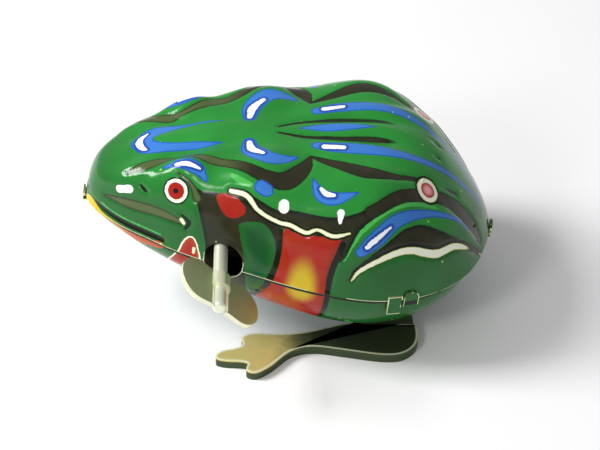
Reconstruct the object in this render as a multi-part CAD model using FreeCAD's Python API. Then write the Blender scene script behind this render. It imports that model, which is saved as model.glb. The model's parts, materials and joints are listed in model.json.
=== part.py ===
import FreeCAD, Part
import math
import os
from FreeCAD import Vector

# Wind-up jumping frog in printed tinplate. Millimetres, +Z up, nose towards -X, key on the -Y side.
# Pieces of the body are drawn in the body frame: seam plane at z = 0, nose at x = -39, tail at x = +39.
PITCH = 7.0
LIFT = 19.0
SHIFT_X = 0.0
SHIFT_Y = 4.17

HALF_LENGTH = 39.0
TIN = 0.4
LAP_GAP = 0.45
LAP_RISE = 1.2
CENTRE_X = 4.0

# Plan outline of the seam from nose to tail, one side, (x, y)
SEAM = [
    (-39.0, 0.0), (-38.4, 3.6), (-36.0, 6.8), (-31.6, 10.2), (-26.8, 12.9), (-21.5, 15.9), (-15.0, 18.4), (-8.0, 20.6),
    (0.0, 23.2), (8.0, 25.0), (16.0, 25.5), (23.5, 23.6), (29.5, 20.0), (34.5, 14.4), (37.8, 6.8), (39.0, 0.0),
]
# Height of the back above the seam plane, (x, height)
CROWN = [
    (-39, 8.0), (-35, 9.8), (-31, 11.6), (-27, 13.4), (-21.5, 15.4), (-16, 17.2), (-5.5, 18.7),
    (3, 19.9), (10, 20.9), (17, 21.4), (25, 20.8), (32, 18.4), (39, 15.0),
]
# How square the side of the back is, (x, exponent)
SIDE = [(-39, 40.0), (-35, 32.0), (-30, 20.0), (-24, 12.0), (-14, 7.0), (-5, 5.0), (8, 4.2), (20, 3.4), (39, 2.3)]
# Depth of the belly below the seam plane, (x, depth)
DEPTH = [(-39, 4.4), (-33, 6.0), (-24, 8.2), (-13, 9.9), (0, 11.2), (12, 12.0), (22, 12.0), (30, 10.6), (39, 6.0)]
# Embossed swellings and grooves of the back: height, x, y, half length, half width, turn
EMBOSS = [
    (2.3, -22.0, 10.8, 8.5, 5.4, -16.0),
    (1.0, -30.5, 7.6, 8.0, 4.0, -24.0),
    (-0.9, -20.0, 4.6, 13.0, 2.2, -6.0),
    (0.5, -27.0, 0.0, 11.0, 3.0, 0.0),
    (2.2, -7.5, 14.0, 10.0, 8.5, 10.0),
    (0.7, -5.0, 7.6, 6.5, 3.4, 12.0),
    (1.6, 15.0, 17.5, 15.0, 9.0, 20.0),
    (0.5, 15.0, 7.0, 19.0, 2.6, 8.0),
    (-0.5, 12.0, 3.4, 20.0, 1.6, 4.0),
    (0.5, 12.0, 0.0, 16.0, 2.2, 0.0),
    (0.6, 26.5, 12.6, 4.0, 3.0, 30.0),
]

# Arbor and post centres in the body frame, (x, z)
WIND = (-13.0, 3.3)
SECOND = (WIND[0] + 11.5 * math.cos(math.radians(10.0)), WIND[1] + 11.5 * math.sin(math.radians(10.0)))
CAM = (SECOND[0] + 10.0 * math.cos(math.radians(-8.0)), SECOND[1] + 10.0 * math.sin(math.radians(-8.0)))
LEG = (21.0, -1.5)
SPRING_POST = (WIND[0] - 11.3 * math.cos(math.radians(20.0)), WIND[1] - 11.3 * math.sin(math.radians(20.0)))
POSTS = [SPRING_POST, (-1.0, -4.6), (15.5, 1.9), (12.5, 8.7)]
WIND_R = 1.3
ARBOR_R = 0.7
LEG_R = 1.2
RUN = 0.05
PLATE_IN = 7.6
PLATE_T = 0.8

MODULE = 0.5
PRESSURE = math.radians(20.0)
PROFILE_SHIFT = 0.53
TOOTH_SLACK = 0.06
GREAT_TEETH = 38
SECOND_TEETH = 32
PINION_TEETH = 8

SPRING_TURN = -110.0
CLICK_ANGLE = 210.0

HOLE_SHIFT = 0.7
HOLE_R = 3.65
HOLE_LOW = 0.35
HOLE_HIGH = 1.35

KEY_TILT = 32.0
KEY_MID = 31.2
KEY_T = 0.6
KEY_RIM = 0.9

FOOT_TOP = 1.9
FOOT_T = 0.5
RIM_T = 0.55
STRAP_IN = 13.2
STRAP_T = 0.8


def ramp(x, stations):
    """Smooth value at x through stations of (x, value)."""
    if x <= stations[0][0]:
        return stations[0][1]
    if x >= stations[-1][0]:
        return stations[-1][1]
    i = 0
    while x > stations[i + 1][0]:
        i += 1
    x0, v0 = stations[i]
    x1, v1 = stations[i + 1]
    xm, vm = stations[max(i - 1, 0)]
    xp, vp = stations[min(i + 2, len(stations) - 1)]
    m0 = (v1 - vm) / (x1 - xm) * (x1 - x0)
    m1 = (vp - v0) / (xp - x0) * (x1 - x0)
    f = (x - x0) / (x1 - x0)
    a = (2 * f ** 3 - 3 * f * f + 1) * v0 + (f ** 3 - 2 * f * f + f) * m0
    return a + (-2 * f ** 3 + 3 * f * f) * v1 + (f ** 3 - f * f) * m1


def swelling(x, y, cx, cy, rx, ry, turn):
    """Soft round bump of height one, or zero outside its oval."""
    c = math.cos(math.radians(turn))
    s = math.sin(math.radians(turn))
    a = ((x - cx) * c + (y - cy) * s) / rx
    b = ((y - cy) * c - (x - cx) * s) / ry
    r = math.hypot(a, b)
    return 0.5 + 0.5 * math.cos(math.pi * r) if r < 1 else 0.0


def emboss(x, y):
    """Height the stamping adds to the back at a point of the plan."""
    return sum(h * swelling(x, abs(y), cx, cy, rx, ry, turn) for h, cx, cy, rx, ry, turn in EMBOSS)


def outline_point(t, inset):
    """Point of the seam outline at t (0 to the number of points), moved inwards by inset."""
    loop = SEAM + [(x, -y) for x, y in SEAM[-2:0:-1]]
    n = len(loop)
    i = int(math.floor(t)) % n
    f = t - math.floor(t)
    p = [loop[(i + k - 1) % n] for k in range(4)]
    pos = []
    way = []
    for k in range(2):
        a, b, c, d = [q[k] for q in p]
        pos.append(0.5 * (2 * b + (c - a) * f + (2 * a - 5 * b + 4 * c - d) * f * f + (3 * b - a - 3 * c + d) * f ** 3))
        way.append(0.5 * ((c - a) + 2 * (2 * a - 5 * b + 4 * c - d) * f + 3 * (3 * b - a - 3 * c + d) * f * f))
    length = math.hypot(way[0], way[1])
    return pos[0] + way[1] / length * inset, pos[1] - way[0] / length * inset


def skin(rows, columns, inset, height):
    """Domed surface as a face. height(share, x, y) gives z at each share of the way from centre to outline."""
    poles = []
    for share, rise in rows:
        row = []
        for j in range(columns):
            ex, ey = outline_point(j * 30.0 / columns, inset)
            x = CENTRE_X + share * (ex - CENTRE_X)
            y = share * ey
            row.append(Vector(x, y, rise if share == 1.0 else height(share, x, y)))
        poles.append(row)
    knots = list(range(len(rows) - 2))
    surface = Part.BSplineSurface()
    surface.buildFromPolesMultsKnots(
        poles, [4] + [1] * (len(knots) - 2) + [4], [1] * (columns + 1), knots, list(range(columns + 1)), False, True, 3, 3)
    return surface.toShape()


def thin_solid(outer, inner):
    """Solid between two domed faces that end in one flat plane."""
    rims = []
    for face in (outer, inner):
        edges = [e for e in face.Edges if not e.Degenerated]
        level = max(e.BoundBox.ZMin for e in edges) if outer.BoundBox.ZMin < -1 else min(e.BoundBox.ZMax for e in edges)
        rims.append(Part.Wire([e for e in edges if e.BoundBox.ZLength < 1e-6 and abs(e.BoundBox.ZMin - level) < 1e-6]))
    ring = Part.makeFace(rims, "Part::FaceMakerBullseye")
    shell = Part.Shell([outer, inner, ring])
    shell.sewShape()
    solid = Part.Solid(shell)
    if solid.Volume < 0:
        solid.reverse()
    return solid


def graded(count, power):
    """Shares from centre to edge, closer together at the edge."""
    return [1.0 - (1.0 - i / count) ** power for i in range(count)]


def back_face(inset, drop):
    """One face of the printed back."""
    def height(share, x, y):
        return (ramp(x, CROWN) + emboss(x, y) - drop) * (1.0 - share ** ramp(x, SIDE)) ** 0.5
    rows = [(s, 0.0) for s in graded(34, 1.8)] + [(1.0, 0.0)]
    return skin(rows, 120, inset, height)


def belly_face(inset, drop):
    """One face of the belly, with the upright lap at its rim."""
    def height(share, x, y):
        return -(ramp(x, DEPTH) - drop) * (1.0 - share ** 6.0) ** (1.0 / 1.7)
    rows = [(s, 0.0) for s in graded(22, 1.8)]
    rows += [(1.0, LAP_RISE * k / 3.0) for k in range(4)]
    return skin(rows, 90, inset, height)


def rod(x, z, radius, y0, y1):
    """Round bar along Y."""
    return Part.makeCylinder(radius, y1 - y0, Vector(x, y0, z), Vector(0, 1, 0))


def block(x0, x1, y0, y1, z0, z1):
    return Part.makeBox(x1 - x0, y1 - y0, z1 - z0, Vector(x0, y0, z0))


def plate_from(points, y0, y1):
    """Flat sheet in the XZ plane from outline points."""
    wire = Part.makePolygon([Vector(x, y0, z) for x, z in points + points[:1]])
    return Part.Face(wire).extrude(Vector(0, y1 - y0, 0))


def rim_tab(t, half, z0, z1, out0, out1):
    """Small upright strip standing along the seam outline."""
    x, y = outline_point(t, 0.0)
    ax, ay = outline_point(t, 1.0)
    tab = Part.makeBox(2 * half, out1 - out0, z1 - z0, Vector(-half, out0, z0))
    tab.rotate(Vector(0, 0, 0), Vector(0, 0, 1), math.degrees(math.atan2(y - ay, x - ax)) - 90.0)
    tab.translate(Vector(x, y, 0))
    return tab


def rounded_top(tab, radius):
    """Round the two upper corners of an upright strip."""
    top = tab.BoundBox.ZMax
    return tab.makeFillet(radius, [e for e in tab.Edges if e.BoundBox.ZMin > top - 1e-6 and e.Length < 0.45])


def to_world(shape):
    """Body frame to the frame of the whole toy."""
    shape.rotate(Vector(0, 0, 0), Vector(0, 1, 0), PITCH)
    shape.translate(Vector(SHIFT_X, SHIFT_Y, LIFT))
    return shape


def shaft_hole():
    """Tall round opening on the key side, half of it in each shell."""
    x = WIND[0] + HOLE_SHIFT
    hole = block(x - HOLE_R, x + HOLE_R, -30, -12, HOLE_LOW, HOLE_HIGH)
    hole = hole.fuse(rod(x, HOLE_HIGH, HOLE_R, -30, -12))
    return hole.fuse(rod(x, HOLE_LOW, HOLE_R, -30, -12))


def upper_shell():
    solid = thin_solid(back_face(0.0, 0.0), back_face(TIN, TIN))
    solid = solid.cut(shaft_hole())
    for t in (10.55, 19.45):
        solid = solid.fuse(rim_tab(t, 1.3, -3.2, 0.8, -0.42, 0.08))
    return solid


def belly_shell():
    solid = thin_solid(belly_face(LAP_GAP, 0.0), belly_face(LAP_GAP + TIN, TIN))
    solid = solid.cut(shaft_hole())
    for t, half, low, high in ((10.95, 1.5, -1.2, 1.9), (19.05, 1.5, -1.2, 1.9), (0.0, 1.3, -1.4, 1.0), (15.0, 1.3, -1.0, 2.2)):
        ear = rim_tab(t, half, low, high, 0.1, 0.5)
        ear = rounded_top(ear, half - 0.1)
        solid = solid.fuse(ear.fuse(rim_tab(t, half, low, -0.3, -1.2, 0.5)))
    for side in (-1, 1):
        y0 = side * (STRAP_IN + STRAP_T / 2.0)
        solid = solid.cut(block(16.6, 29.4, y0 - 0.9, y0 + 0.9, -16, -4))
        yp = side * (PLATE_IN + PLATE_T / 2.0)
        for x in (-15.0, 5.0):
            solid = solid.cut(block(x - 2.1, x + 2.1, yp - 0.5, yp + 0.5, -16, -4))
    return solid


def side_plate(side):
    """Frame plate of the clockwork with its holes and two tabs through the belly."""
    y0 = PLATE_IN if side > 0 else -PLATE_IN - PLATE_T
    y1 = y0 + PLATE_T
    outline = [
        (-25.6, -2.5), (-22.0, -6.0), (-17.0, -6.0), (-17.0, -10.1), (-13.0, -10.1), (-13.0, -6.0), (3.0, -6.0),
        (3.0, -12.3), (7.0, -12.3), (7.0, -6.0), (22.5, -6.0), (25.0, -3.5), (25.0, 1.5), (22.5, 4.0), (16.5, 4.5),
        (15.0, 10.5), (-20.0, 10.5), (-25.6, 5.0),
    ]
    plate = plate_from(outline, y0, y1)
    for (x, z), r in ((WIND, WIND_R), (SECOND, ARBOR_R), (CAM, ARBOR_R), (LEG, LEG_R)):
        plate = plate.cut(rod(x, z, r + RUN, y0 - 1, y1 + 1))
    for x, z in POSTS:
        plate = plate.cut(rod(x, z, 0.8, y0 - 1, y1 + 1))
    return plate


def post(x, z):
    """Shouldered post that holds the two plates apart, its ends riveted over."""
    bar = rod(x, z, 1.2, -PLATE_IN, PLATE_IN)
    bar = bar.fuse(rod(x, z, 0.8, -PLATE_IN - PLATE_T, PLATE_IN + PLATE_T))
    for side in (-1, 1):
        y = side * (PLATE_IN + PLATE_T)
        bar = bar.fuse(rod(x, z, 1.2, min(y, y + side * 0.3), max(y, y + side * 0.3)))
    return bar


def flank(radius, teeth, shift):
    """Half angle of a tooth at a radius."""
    pitch_r = MODULE * teeth / 2.0
    base_r = pitch_r * math.cos(PRESSURE)
    half = (math.pi / 2 + 2 * shift * math.tan(PRESSURE)) / teeth - TOOTH_SLACK / 2.0 / pitch_r
    a = math.acos(min(1.0, base_r / radius))
    return half + (math.tan(PRESSURE) - PRESSURE) - (math.tan(a) - a)


def gear(centre, teeth, shift, tip_r, phase, y0, y1, bore):
    """Spur gear with involute flanks; one tooth is centred on the phase angle."""
    pitch_r = MODULE * teeth / 2.0
    root_r = MODULE * (teeth / 2.0 - 1.25 + shift)
    base_r = pitch_r * math.cos(PRESSURE)
    start_r = max(root_r, base_r)
    radii = [start_r + (tip_r - start_r) * k / 4.0 for k in range(5)]
    side = [(r, flank(r, teeth, shift)) for r in radii]
    if root_r < base_r:
        side = [(root_r, side[0][1])] + side
    points = []
    for n in range(teeth):
        mid = phase + 2 * math.pi * n / teeth
        for r, half in side:
            points.append((centre[0] + r * math.cos(mid - half), centre[1] + r * math.sin(mid - half)))
        for r, half in reversed(side):
            points.append((centre[0] + r * math.cos(mid + half), centre[1] + r * math.sin(mid + half)))
    body = plate_from(points, y0, y1)
    return body.cut(rod(centre[0], centre[1], bore, y0 - 1, y1 + 1))


def heading(a, b):
    return math.atan2(b[1] - a[1], b[0] - a[0])


def wheel_tip(teeth):
    return MODULE * (teeth / 2.0 + 1.0 - PROFILE_SHIFT)


def great_wheel():
    wheel = gear(WIND, GREAT_TEETH, -PROFILE_SHIFT, wheel_tip(GREAT_TEETH), heading(WIND, SECOND),
                 -6.2, -5.4, WIND_R + RUN)
    for k in range(3):
        a = math.radians(90 + 120 * k)
        wheel = wheel.cut(rod(WIND[0] + 5.6 * math.cos(a), WIND[1] + 5.6 * math.sin(a), 1.5, -7, -5))
    a = math.radians(CLICK_ANGLE)
    return wheel.cut(rod(WIND[0] + 7.4 * math.cos(a), WIND[1] + 7.4 * math.sin(a), 0.6, -7, -5))


def ratchet_wheel():
    """Saw-toothed wheel fixed on the winding arbor."""
    points = []
    for n in range(12):
        a = 2 * math.pi * n / 12
        points.append((WIND[0] + 4.2 * math.cos(a), WIND[1] + 4.2 * math.sin(a)))
        b = a + 2 * math.pi / 12 * 0.92
        points.append((WIND[0] + 3.4 * math.cos(b), WIND[1] + 3.4 * math.sin(b)))
    wheel = plate_from(points, -7.2, -6.5)
    return wheel.cut(rod(WIND[0], WIND[1], WIND_R, -8, -6))


def click():
    """Springy pawl on the great wheel, its tip between two ratchet teeth."""
    a = math.radians(CLICK_ANGLE)
    px = WIND[0] + 7.4 * math.cos(a)
    pz = WIND[1] + 7.4 * math.sin(a)
    tip = math.radians(CLICK_ANGLE + 45.0)
    tx = WIND[0] + 4.5 * math.cos(tip)
    tz = WIND[1] + 4.5 * math.sin(tip)
    d = math.atan2(tz - pz, tx - px)
    nx = -math.sin(d) * 0.4
    nz = math.cos(d) * 0.4
    arm = plate_from([(px + nx, pz + nz), (px - nx, pz - nz), (tx - nx * 0.4, tz - nz * 0.4),
                      (tx + nx * 0.4, tz + nz * 0.4)], -7.0, -6.4)
    arm = arm.fuse(rod(px, pz, 1.1, -7.0, -6.4))
    return arm.cut(rod(px, pz, 0.6, -8, -6))


def click_rivet():
    a = math.radians(CLICK_ANGLE)
    px = WIND[0] + 7.4 * math.cos(a)
    pz = WIND[1] + 7.4 * math.sin(a)
    pin = rod(px, pz, 0.6, -7.0, -5.4)
    pin = pin.fuse(rod(px, pz, 0.95, -7.3, -7.0))
    pin = pin.fuse(rod(px, pz, 0.95, -6.4, -6.2))
    return pin.fuse(rod(px, pz, 0.95, -5.4, -5.15))


def mainspring():
    """Flat strip coiled round the winding arbor, its outer end looped on a frame post."""
    step = 1.14
    wall = 0.35
    spring = None
    for k in range(14):
        z = WIND[1] + (step / 2.0 if k % 2 else 0.0)
        r = WIND_R + 0.2 + step / 2.0 * k
        half = Part.makeCylinder(r + wall, 5.7, Vector(WIND[0], -4.7, z), Vector(0, 1, 0), 180.0)
        half = half.cut(rod(WIND[0], z, r, -5, 2))
        half.rotate(Vector(WIND[0], 0, z), Vector(0, 1, 0), 180.0 * (k % 2))
        spring = half if spring is None else spring.fuse(half)
    spring.rotate(Vector(WIND[0], 0, WIND[1]), Vector(0, 1, 0), SPRING_TURN)
    hook = rod(SPRING_POST[0], SPRING_POST[1], 1.2 + wall, -4.7, 1.0)
    hook = hook.cut(rod(SPRING_POST[0], SPRING_POST[1], 1.2, -5, 2))
    bridge = block(-10.0, -9.6, -4.7, 1.0, -wall / 2.0, wall / 2.0)
    bridge.rotate(Vector(0, 0, 0), Vector(0, 1, 0), -20.0)
    bridge.translate(Vector(WIND[0], 0, WIND[1]))
    return spring.fuse([hook, bridge])


def winding_arbor():
    """Shaft from the far plate out to the key, its outer end rounded."""
    shaft = rod(WIND[0], WIND[1], WIND_R, -KEY_MID - 4.9, PLATE_IN + PLATE_T + 0.4)
    return shaft.makeFillet(0.6, [e for e in shaft.Edges if e.BoundBox.YMax < -KEY_MID])


def arbor_collar():
    ring = rod(WIND[0], WIND[1], 2.4, -9.6, -8.6)
    return ring.cut(rod(WIND[0], WIND[1], WIND_R, -10, -8))


def closed_curve(points, inset):
    """Smooth closed wire through points of the XY plane, moved inwards by inset."""
    curve = Part.BSplineCurve()
    curve.interpolate([Vector(x, y, 0) for x, y in points], True)
    if inset > 0:
        area = sum(p[0] * q[1] - q[0] * p[1] for p, q in zip(points, points[1:] + points[:1]))
        turn = 90.0 if area > 0 else -90.0
        count = 3 * len(points)
        moved = []
        for k in range(count):
            at = curve.FirstParameter + (curve.LastParameter - curve.FirstParameter) * k / count
            way = curve.tangent(at)[0]
            side = FreeCAD.Rotation(Vector(0, 0, 1), turn).multVec(way)
            moved.append(curve.value(at) + side * inset)
        curve = Part.BSplineCurve()
        curve.interpolate(moved, True)
    pieces = len(points) // 2
    step = (curve.LastParameter - curve.FirstParameter) / pieces
    start = curve.FirstParameter
    return Part.Wire([curve.toShape(start + step * k, start + step * (k + 1)) for k in range(pieces)])


def key_points():
    """Butterfly outline of the key about its middle."""
    quarter = [(0.0, 4.9), (2.4, 5.0), (5.2, 5.3), (7.8, 3.5), (8.8, 0.0)]
    ring = quarter + [(u, -v) for u, v in quarter[-2::-1]] + [(-u, -v) for u, v in quarter[1:]]
    return ring + [(-u, v) for u, v in quarter[-2:0:-1]]


def winding_key():
    """Butterfly key of sheet with a turned-down rim and a strap pinched round the shaft."""
    sheet = Part.Face(closed_curve(key_points(), 0.0)).extrude(Vector(0, 0, -KEY_RIM))
    hollow = Part.Face(closed_curve(key_points(), 0.6)).extrude(Vector(0, 0, -KEY_RIM))
    hollow.translate(Vector(0, 0, -KEY_T))
    sheet = sheet.cut(hollow)
    sheet.translate(Vector(0, -KEY_MID, KEY_T / 2.0))
    slot = Part.makeBox(3.6, 12.0, 4.0, Vector(-1.8, -KEY_MID - 4.7, -2.0))
    slot = slot.fuse(Part.makeBox(2 * WIND_R + 0.1, 14.0, 4.0, Vector(-WIND_R - 0.05, -KEY_MID - 5.1, -2.0)))
    sheet = sheet.cut(slot)
    strap = Part.makeCylinder(WIND_R + 0.65, 3.4, Vector(0, -30.7, 0), Vector(0, 1, 0))
    strap = strap.cut(Part.makeCylinder(WIND_R, 30, Vector(0, -40, 0), Vector(0, 1, 0)))
    key = sheet.fuse(strap)
    key.rotate(Vector(0, 0, 0), Vector(0, 1, 0), KEY_TILT)
    key.translate(Vector(WIND[0], 0, WIND[1]))
    return key


def second_arbor():
    return rod(SECOND[0], SECOND[1], ARBOR_R, -PLATE_IN - PLATE_T - 0.4, PLATE_IN + PLATE_T + 0.4)


def second_pinion():
    phase = heading(SECOND, WIND) + math.pi / PINION_TEETH
    return gear(SECOND, PINION_TEETH, PROFILE_SHIFT, 2.6, phase, -6.6, -5.0, ARBOR_R)


def second_wheel():
    wheel = gear(SECOND, SECOND_TEETH, -PROFILE_SHIFT, wheel_tip(SECOND_TEETH), heading(SECOND, CAM), 1.6, 2.4, ARBOR_R)
    for k in range(3):
        a = math.radians(30 + 120 * k)
        wheel = wheel.cut(rod(SECOND[0] + 4.2 * math.cos(a), SECOND[1] + 4.2 * math.sin(a), 1.7, 1, 3))
    return wheel


def cam_arbor():
    return rod(CAM[0], CAM[1], ARBOR_R, -PLATE_IN - PLATE_T - 0.4, PLATE_IN + PLATE_T + 0.4)


def cam_pinion():
    phase = heading(CAM, SECOND) + math.pi / PINION_TEETH
    return gear(CAM, PINION_TEETH, PROFILE_SHIFT, 2.6, phase, 1.2, 2.8, ARBOR_R)


def kick_cam():
    """Snail cam: it presses the lever down, then lets it snap up."""
    points = []
    for k in range(37):
        a = math.radians(-80 + 9.6 * k)
        r = 2.2 + 2.6 * k / 36.0
        points.append((CAM[0] + r * math.cos(a), CAM[1] + r * math.sin(a)))
    cam = plate_from(points, 3.4, 4.6)
    return cam.cut(rod(CAM[0], CAM[1], ARBOR_R, 3, 5))


def leg_shaft():
    """Cross shaft of the hind legs, its ends riveted over."""
    end = STRAP_IN + STRAP_T
    shaft = rod(LEG[0], LEG[1], LEG_R, -end - 0.5, end + 0.5)
    for side in (-1, 1):
        y = side * end
        shaft = shaft.fuse(rod(LEG[0], LEG[1], 1.8, min(y, y + side * 0.6), max(y, y + side * 0.6)))
    return shaft


def leg_spacer(side):
    y = sorted((side * (PLATE_IN + PLATE_T + 0.2), side * STRAP_IN))
    tube = rod(LEG[0], LEG[1], 2.0, y[0], y[1])
    return tube.cut(rod(LEG[0], LEG[1], LEG_R, y[0] - 1, y[1] + 1))


def kick_lever():
    """Lever on the leg shaft that reaches under the cam."""
    arm = plate_from([(LEG[0], LEG[1] - 1.6), (LEG[0], LEG[1] + 1.6), (10.0, -1.3), (5.6, -1.6), (5.6, -2.8),
                      (10.0, -3.0)], 4.9, 5.7)
    arm = arm.fuse(rod(LEG[0], LEG[1], 2.4, 4.9, 5.7))
    return arm.cut(rod(LEG[0], LEG[1], LEG_R, 4, 6))


def leg_spring():
    """Coil round the leg shaft that draws the legs back up."""
    coil = Part.makeHelix(0.75, 3.75, 2.1)
    ring = Part.Wire(Part.makeCircle(0.25, Vector(2.1, 0, 0), Vector(0, 1, 0)))
    pipe = Part.Wire(coil).makePipeShell([ring], True, False)
    pipe.rotate(Vector(0, 0, 0), Vector(1, 0, 0), 90)
    pipe.translate(Vector(LEG[0], 0.5, LEG[1]))
    return pipe


# Outline of a foot on the floor from the heel round the toes, (x, distance from the middle of the toy)
FOOT = [
    (22.6, 13.1), (24.2, 13.9), (24.9, 17.2), (24.0, 20.6), (21.8, 22.6), (18.6, 23.1), (14.2, 22.4), (8.7, 21.2), (3.4, 20.7),
    (0.4, 22.0), (-2.4, 25.2), (-4.8, 27.5), (-6.6, 28.2), (-7.9, 27.2), (-7.6, 25.6), (-9.4, 24.9), (-12.0, 24.7),
    (-13.7, 23.8), (-13.2, 22.4), (-10.4, 21.2), (-8.6, 19.8), (-8.9, 18.2), (-7.7, 16.9), (-5.0, 16.6), (-0.4, 16.8),
    (4.4, 15.9), (8.0, 14.6), (12.0, 13.4), (16.0, 13.1), (19.6, 13.0),
]


def leg(side):
    """Webbed foot pressed from sheet, and the strap from its heel up to the leg shaft."""
    pan = Part.Face(closed_curve(FOOT, 0.0)).extrude(Vector(0, 0, FOOT_TOP))
    pan = pan.cut(Part.Face(closed_curve(FOOT, RIM_T)).extrude(Vector(0, 0, FOOT_TOP - FOOT_T)))
    x, z = leg_centre()
    wire = [(14.0, FOOT_TOP - FOOT_T), (24.0, FOOT_TOP - FOOT_T), (24.0, 2.6), (x + 2.4, 8.5), (x + 2.4, z),
            (x - 2.4, z), (x - 2.4, 9.0), (16.0, 3.2), (14.0, FOOT_TOP)]
    strap = plate_from(wire, STRAP_IN, STRAP_IN + STRAP_T)
    strap = strap.fuse(rod(x, z, 2.6, STRAP_IN, STRAP_IN + STRAP_T))
    limb = pan.fuse(strap)
    limb = limb.cut(rod(x, z, LEG_R, STRAP_IN - 1, STRAP_IN + 2))
    if side < 0:
        limb = limb.mirror(Vector(0, 0, 0), Vector(0, 1, 0))
    limb.translate(Vector(SHIFT_X, SHIFT_Y, 0))
    return limb


def leg_centre():
    """Leg shaft's place before the whole toy is shifted, (x, z)."""
    c = math.cos(math.radians(PITCH))
    s = math.sin(math.radians(PITCH))
    return LEG[0] * c + LEG[1] * s, LEG[1] * c - LEG[0] * s + LIFT


os.makedirs("parts", exist_ok=True)
pieces = {
    "upper_shell": to_world(upper_shell()),
    "belly_shell": to_world(belly_shell()),
    "left_plate": to_world(side_plate(-1)),
    "right_plate": to_world(side_plate(1)),
    "mainspring": to_world(mainspring()),
    "winding_arbor": to_world(winding_arbor()),
    "winding_key": to_world(winding_key()),
    "arbor_collar": to_world(arbor_collar()),
    "ratchet_wheel": to_world(ratchet_wheel()),
    "great_wheel": to_world(great_wheel()),
    "click": to_world(click()),
    "click_rivet": to_world(click_rivet()),
    "second_arbor": to_world(second_arbor()),
    "second_pinion": to_world(second_pinion()),
    "second_wheel": to_world(second_wheel()),
    "cam_arbor": to_world(cam_arbor()),
    "cam_pinion": to_world(cam_pinion()),
    "kick_cam": to_world(kick_cam()),
    "leg_shaft": to_world(leg_shaft()),
    "left_spacer": to_world(leg_spacer(-1)),
    "right_spacer": to_world(leg_spacer(1)),
    "kick_lever": to_world(kick_lever()),
    "leg_spring": to_world(leg_spring()),
    "left_leg": leg(-1),
    "right_leg": leg(1),
}
for number, (x, z) in enumerate(POSTS):
    pieces["post_%d" % (number + 1)] = to_world(post(x, z))
for name, shape in pieces.items():
    shape.exportStep("parts/%s.step" % name)
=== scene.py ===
import json
import math

import bpy
import numpy as np
from bpy.props import FloatProperty, FloatVectorProperty, PointerProperty
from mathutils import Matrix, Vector
from mathutils.kdtree import KDTree


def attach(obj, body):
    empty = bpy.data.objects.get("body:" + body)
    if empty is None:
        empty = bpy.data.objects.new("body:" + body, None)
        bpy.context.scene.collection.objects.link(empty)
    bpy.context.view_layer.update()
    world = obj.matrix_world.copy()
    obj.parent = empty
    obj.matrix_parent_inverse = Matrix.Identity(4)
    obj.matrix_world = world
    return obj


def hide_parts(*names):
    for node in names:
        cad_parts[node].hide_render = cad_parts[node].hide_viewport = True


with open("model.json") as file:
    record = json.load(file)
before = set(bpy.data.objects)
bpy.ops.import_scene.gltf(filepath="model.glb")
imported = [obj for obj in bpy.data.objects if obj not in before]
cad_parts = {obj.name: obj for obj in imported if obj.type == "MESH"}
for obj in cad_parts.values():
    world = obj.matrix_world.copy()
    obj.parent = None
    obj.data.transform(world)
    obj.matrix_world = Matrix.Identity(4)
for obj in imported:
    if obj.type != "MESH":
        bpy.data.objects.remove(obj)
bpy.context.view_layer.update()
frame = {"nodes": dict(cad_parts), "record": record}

bl_info = {
    "name": "Wind-up tin frog",
    "version": (1, 0, 0),
    "blender": (4, 5, 0),
    "location": "View3D > Sidebar > Tin frog",
    "description": "Printed shells, key, feet and studio for a tinplate jumping frog",
    "category": "Object",
}

MM = 0.001
PITCH = math.radians(7.0)        # lean of the body on its feet
LIFT = 19.0                      # height of the middle of the seam, mm
MIDDLE_Y = 4.17                  # middle plane of the toy, mm
BODY_MIDDLE = (4.0, 0.0, 2.0)    # a place inside the body, mm
FAR = 50.0                       # stands for no ink near, mm
REACH = 6.0                      # how far from a stroke its distance is worked out, mm
NO_INK = 9.0                     # further than any ink reaches, mm
TINY = 1e-12
LEVEL = 1e-9
EDGE_STEPS = 6                   # places tested along each cut edge
SLIVER = 1e-8                    # faces smaller than this have no reliable normal, square metres
SOLE_AREA = 1e-4                 # a foot's large flat faces are above this, square metres
MERGE = 1e-6                     # corners closer than this are one, metres
CUT_TURN = 38.0                  # a sheet turns by more than this at a cut edge, degrees
SHEET_TURN = 50.0                # faces of a bent sheet are smoothed up to this turn, degrees
UPWARDS = 0.99                   # least upward part of a level face's normal
FLANK_FROM = 6.0                 # patches are kept this far from the middle plane, mm
INK_EDGE = 0.07                  # softness of an ink's edge, mm
SHADE_EDGE = 0.12                # softness of a broad shade's edge, mm
SPOT_RADII = {"black": 3.0, "cream": 2.5, "pink": 1.6}
EYE_RADII = {"outline": 2.6, "ring": 2.3, "iris": 1.66, "pupil": 0.52}
HIGHLIGHT = (0.93, 0.95, 0.95)
SPOT_PINK = (0.80, 0.36, 0.36)
SPECK_GREEN = (0.42, 0.62, 0.20)
INSIDE_TIN = (0.50, 0.44, 0.24)
GLOW_CENTRE = (2.5, -0.2)        # x and height of the glow on the red patch, mm
EVEN = (1.0, 1.0, 1.0)           # a grain that runs no way in particular
SENSOR = 36.0                    # width of the camera's sensor, mm
VIEW_CENTRE = (0.0023, 0.022)    # x and height that the camera is turned to, metres
VIEW_DROP = 0.00537              # how far the view is then lowered, metres
LAMP_AIM = 0.02                  # height that the lamps point at, metres

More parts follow.
